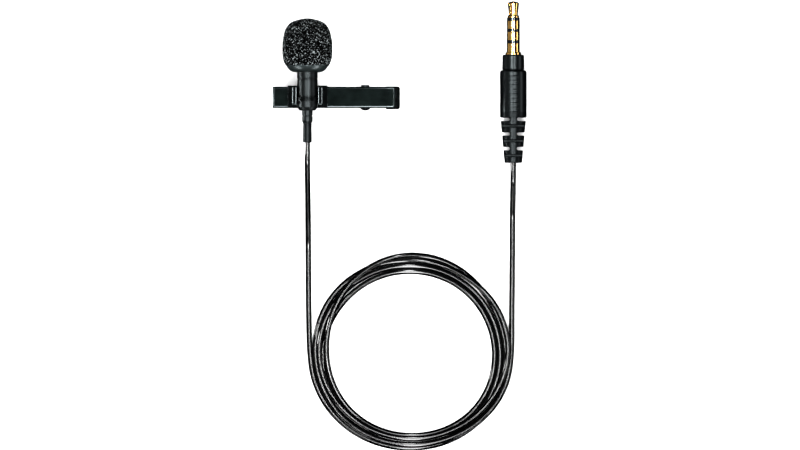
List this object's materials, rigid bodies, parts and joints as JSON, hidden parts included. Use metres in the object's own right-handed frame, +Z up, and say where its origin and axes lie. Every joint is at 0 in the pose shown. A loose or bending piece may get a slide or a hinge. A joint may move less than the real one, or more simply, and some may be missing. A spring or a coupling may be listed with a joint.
{
  "type": "lavalier microphone",
  "caption": "Clip-on lavalier microphone with a foam windscreen, a sprung tie clip, a thin coiled cable and a moulded plug.",
  "frame": {"origin": "on the surface the object lies on, under the middle of the microphone and its clip, without the cable and plug", "axes": "+Z up from the surface, +Y along the microphone barrel towards the windscreen, +X along the clip from its jaws towards its thumb end"},
  "size_m": [0.0695, 0.1233, 0.0163],
  "materials": {
    "foam": "matte",
    "barrel_metal": "satin",
    "grille_metal": "satin",
    "screen_cloth": "matte",
    "capsule_metal": "satin",
    "soft_rubber": "matte",
    "board_green": "satin",
    "copper_wire": "satin",
    "ferrule_metal": "satin",
    "holder_plastic": "satin",
    "clip_metal": "satin",
    "pin_metal": "satin",
    "spring_wire": "satin",
    "cable_jacket": "satin",
    "plug_rubber": "satin",
    "gold_plate": "polished",
    "black_insulator": "gloss"
  },
  "bodies": {
    "mic": {"mic_housing": "barrel_metal", "rear_cap": "barrel_metal", "capsule_grille": "grille_metal", "dust_screen": "screen_cloth", "electret_capsule": "capsule_metal", "capsule_gasket": "soft_rubber", "capsule_board": "board_green", "capsule_leads": "copper_wire", "cable_crimp": "ferrule_metal", "mic_cable_inner": "cable_jacket", "strain_relief_collar": "barrel_metal", "strain_relief_sleeve": "soft_rubber", "cord_mic_lead": "cable_jacket", "cord_coil": "cable_jacket", "cord_plug_lead": "cable_jacket", "plug_overmould": "plug_rubber", "plug_tip": "gold_plate", "plug_ring_front": "gold_plate", "plug_ring_back": "gold_plate", "plug_sleeve": "gold_plate", "plug_insulators": "black_insulator", "plug_crimp": "ferrule_metal", "plug_cable_inner": "cable_jacket", "plug_wires": "copper_wire"},
    "windscreen": {"foam_windscreen": "foam"},
    "grip_ring": {"grip_ring": "soft_rubber"},
    "clip": {"clip_front_plate": "clip_metal", "mic_holder": "holder_plastic", "holder_rivet": "pin_metal", "pivot_pin": "pin_metal", "torsion_spring": "spring_wire"},
    "lever": {"clip_back_lever": "clip_metal"}
  },
  "joints": [
    {"name": "windscreen_pull", "type": "slide", "parent": "mic", "child": "windscreen", "axis": [0, 1, 0], "range_m": [0, 0.0125]},
    {"name": "clip_slide", "type": "slide", "parent": "mic", "child": "grip_ring", "axis": [0, 1, 0], "range_m": [-0.008, 0.0034]},
    {"name": "clip_swivel", "type": "hinge", "parent": "grip_ring", "child": "clip", "pos_m": [-0.00783, -0.00449, 0.00945], "axis": [0, 1, 0], "continuous": true},
    {"name": "jaw_open", "type": "hinge", "parent": "clip", "child": "lever", "pos_m": [0.00789, -0.00449, 0.0032], "axis": [0, -1, 0], "range_deg": [0, 22], "stiffness_Nm_per_rad": 0.02, "springref_deg": -68.75, "deforming": ["torsion_spring"]}
  ]
}
